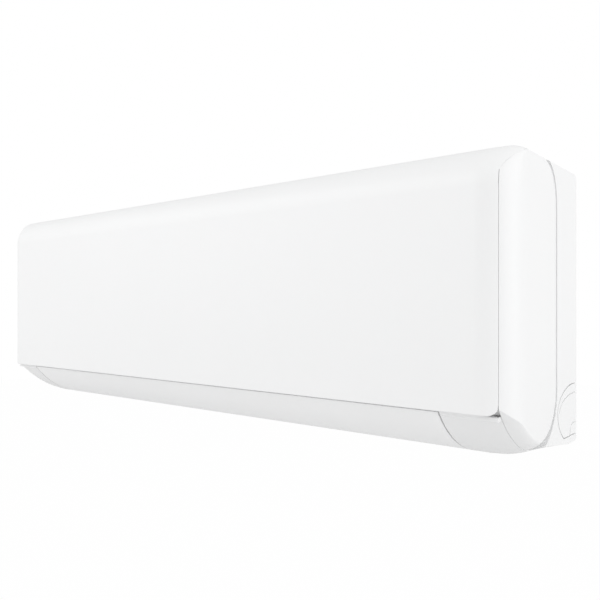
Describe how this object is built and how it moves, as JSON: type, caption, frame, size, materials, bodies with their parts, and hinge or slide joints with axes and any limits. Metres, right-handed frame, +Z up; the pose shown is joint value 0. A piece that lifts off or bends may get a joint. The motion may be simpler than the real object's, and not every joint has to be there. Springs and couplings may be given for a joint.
{
  "type": "mini split indoor unit",
  "caption": "Wall-hung white indoor unit of a split air conditioner: smooth curled front panel, rounded end caps, bottom louver, crossflow fan, folded coil and linked swing vanes.",
  "frame": {"origin": "centre of the wall plate's back face, on the wall plane at mid-height of the unit", "axes": "+X to the right seen from the room, +Y into the wall, +Z up"},
  "size_m": [0.9, 0.2, 0.3],
  "materials": {
    "casing": "satin gloss, cool white",
    "louver": "satin white, a little darker",
    "inner": "satin off-white moulding",
    "dark": "matte charcoal",
    "fins": "pale blue hydrophilic coating",
    "copper": "bright copper tube",
    "steel": "zinc-plated sheet",
    "brass": "machined",
    "net": "fine woven net in a moulded tray",
    "board": "solder-resist green",
    "rubber": "matte",
    "foam": "white foam insulation",
    "motor": "grey steel shell"
  },
  "bodies": {
    "casing": {"rear_casing": "casing", "front_frame": "casing", "end_cap_right": "casing", "end_cap_left": "casing", "pipe_hole_cover_right": "casing", "pipe_hole_cover_left": "casing", "intake_grille": "inner", "vane_rail": "inner", "motor_clamp_1": "inner", "motor_clamp_2": "inner", "drain_pan": "inner", "control_box": "inner", "wall_plate": "steel", "fan_bearing": "steel", "control_box_lid": "steel", "louver_motor": "motor", "swing_motor": "motor", "fan_motor": "motor", "terminal_block": "dark", "display_board": "dark", "bearing_rubber": "rubber", "evaporator_front": "fins", "evaporator_upper": "fins", "evaporator_rear": "fins", "coil_end_right": "copper", "coil_end_left": "copper", "liquid_pipe": "copper", "gas_pipe": "foam", "gas_flare_nut": "brass", "liquid_flare_nut": "brass", "control_board": "board"},
    "panel": {"front_panel": "casing"},
    "louver": {"louver": "louver"},
    "fan": {"crossflow_fan": "dark"},
    "filter_right": {"air_filter_right": "net"},
    "filter_left": {"air_filter_left": "net"},
    "crank": {"swing_crank": "inner"},
    "link_rod": {"vane_link_rod": "inner"},
    "button": {"emergency_button": "inner"},
    "vane_1": {"swing_vane_1": "dark"},
    "vane_2": {"swing_vane_2": "dark"},
    "vane_3": {"swing_vane_3": "dark"},
    "vane_4": {"swing_vane_4": "dark"},
    "vane_5": {"swing_vane_5": "dark"},
    "vane_6": {"swing_vane_6": "dark"},
    "vane_7": {"swing_vane_7": "dark"},
    "vane_8": {"swing_vane_8": "dark"},
    "vane_9": {"swing_vane_9": "dark"},
    "vane_10": {"swing_vane_10": "dark"},
    "vane_11": {"swing_vane_11": "dark"},
    "vane_12": {"swing_vane_12": "dark"}
  },
  "joints": [
    {"name": "panel_hinge", "type": "hinge", "parent": "casing", "child": "panel", "pos_m": [0, -0.16, 0.146], "axis": [-1, 0, 0], "range_deg": [0, 60]},
    {"name": "louver_tilt", "type": "hinge", "parent": "casing", "child": "louver", "pos_m": [0, -0.139, -0.123], "axis": [1, 0, 0], "range_deg": [0, 80]},
    {"name": "fan_spin", "type": "hinge", "parent": "casing", "child": "fan", "pos_m": [0, -0.084, -0.008], "axis": [1, 0, 0], "continuous": true},
    {"name": "filter_right_lift", "type": "slide", "parent": "casing", "child": "filter_right", "axis": [0, 0, 1], "range_m": [0, 0.06]},
    {"name": "filter_left_lift", "type": "slide", "parent": "casing", "child": "filter_left", "axis": [0, 0, 1], "range_m": [0, 0.06]},
    {"name": "swing_1", "type": "hinge", "parent": "casing", "child": "vane_1", "pos_m": [-0.319, -0.1, -0.081], "axis": [0, -0.678, 0.7351], "range_deg": [-35, 35]},
    {"name": "swing_2", "type": "hinge", "parent": "casing", "child": "vane_2", "pos_m": [-0.261, -0.1, -0.081], "axis": [0, -0.678, 0.7351], "range_deg": [-35, 35]},
    {"name": "swing_3", "type": "hinge", "parent": "casing", "child": "vane_3", "pos_m": [-0.203, -0.1, -0.081], "axis": [0, -0.678, 0.7351], "range_deg": [-35, 35]},
    {"name": "swing_4", "type": "hinge", "parent": "casing", "child": "vane_4", "pos_m": [-0.145, -0.1, -0.081], "axis": [0, -0.678, 0.7351], "range_deg": [-35, 35]},
    {"name": "swing_5", "type": "hinge", "parent": "casing", "child": "vane_5", "pos_m": [-0.087, -0.1, -0.081], "axis": [0, -0.678, 0.7351], "range_deg": [-35, 35]},
    {"name": "swing_6", "type": "hinge", "parent": "casing", "child": "vane_6", "pos_m": [-0.029, -0.1, -0.081], "axis": [0, -0.678, 0.7351], "range_deg": [-35, 35]},
    {"name": "swing_7", "type": "hinge", "parent": "casing", "child": "vane_7", "pos_m": [0.029, -0.1, -0.081], "axis": [0, -0.678, 0.7351], "range_deg": [-35, 35]},
    {"name": "swing_8", "type": "hinge", "parent": "casing", "child": "vane_8", "pos_m": [0.087, -0.1, -0.081], "axis": [0, -0.678, 0.7351], "range_deg": [-35, 35]},
    {"name": "swing_9", "type": "hinge", "parent": "casing", "child": "vane_9", "pos_m": [0.145, -0.1, -0.081], "axis": [0, -0.678, 0.7351], "range_deg": [-35, 35]},
    {"name": "swing_10", "type": "hinge", "parent": "casing", "child": "vane_10", "pos_m": [0.203, -0.1, -0.081], "axis": [0, -0.678, 0.7351], "range_deg": [-35, 35]},
    {"name": "swing_11", "type": "hinge", "parent": "casing", "child": "vane_11", "pos_m": [0.261, -0.1, -0.081], "axis": [0, -0.678, 0.7351], "range_deg": [-35, 35]},
    {"name": "swing_12", "type": "hinge", "parent": "casing", "child": "vane_12", "pos_m": [0.319, -0.1, -0.081], "axis": [0, -0.678, 0.7351], "range_deg": [-35, 35]},
    {"name": "swing_crank_turn", "type": "hinge", "parent": "casing", "child": "crank", "pos_m": [0.359, -0.1, -0.081], "axis": [0, -0.678, 0.7351], "range_deg": [-35, 35]},
    {"name": "rod_link", "type": "hinge", "parent": "vane_1", "child": "link_rod", "pos_m": [-0.319, -0.09792, -0.09948], "axis": [0, -0.678, 0.7351], "range_deg": [-35, 35]},
    {"name": "button_press", "type": "slide", "parent": "casing", "child": "button", "axis": [0, 1, 0], "range_m": [0, 0.0015], "stiffness_N_per_m": 300, "springref_m": -0.001}
  ],
  "couplings": [
    {"joint": "swing_2", "follows": "swing_1", "ratio": 1},
    {"joint": "swing_3", "follows": "swing_1", "ratio": 1},
    {"joint": "swing_4", "follows": "swing_1", "ratio": 1},
    {"joint": "swing_5", "follows": "swing_1", "ratio": 1},
    {"joint": "swing_6", "follows": "swing_1", "ratio": 1},
    {"joint": "swing_7", "follows": "swing_1", "ratio": 1},
    {"joint": "swing_8", "follows": "swing_1", "ratio": 1},
    {"joint": "swing_9", "follows": "swing_1", "ratio": 1},
    {"joint": "swing_10", "follows": "swing_1", "ratio": 1},
    {"joint": "swing_11", "follows": "swing_1", "ratio": 1},
    {"joint": "swing_12", "follows": "swing_1", "ratio": 1},
    {"joint": "swing_crank_turn", "follows": "swing_1", "ratio": 1},
    {"joint": "rod_link", "follows": "swing_1", "ratio": -1}
  ]
}
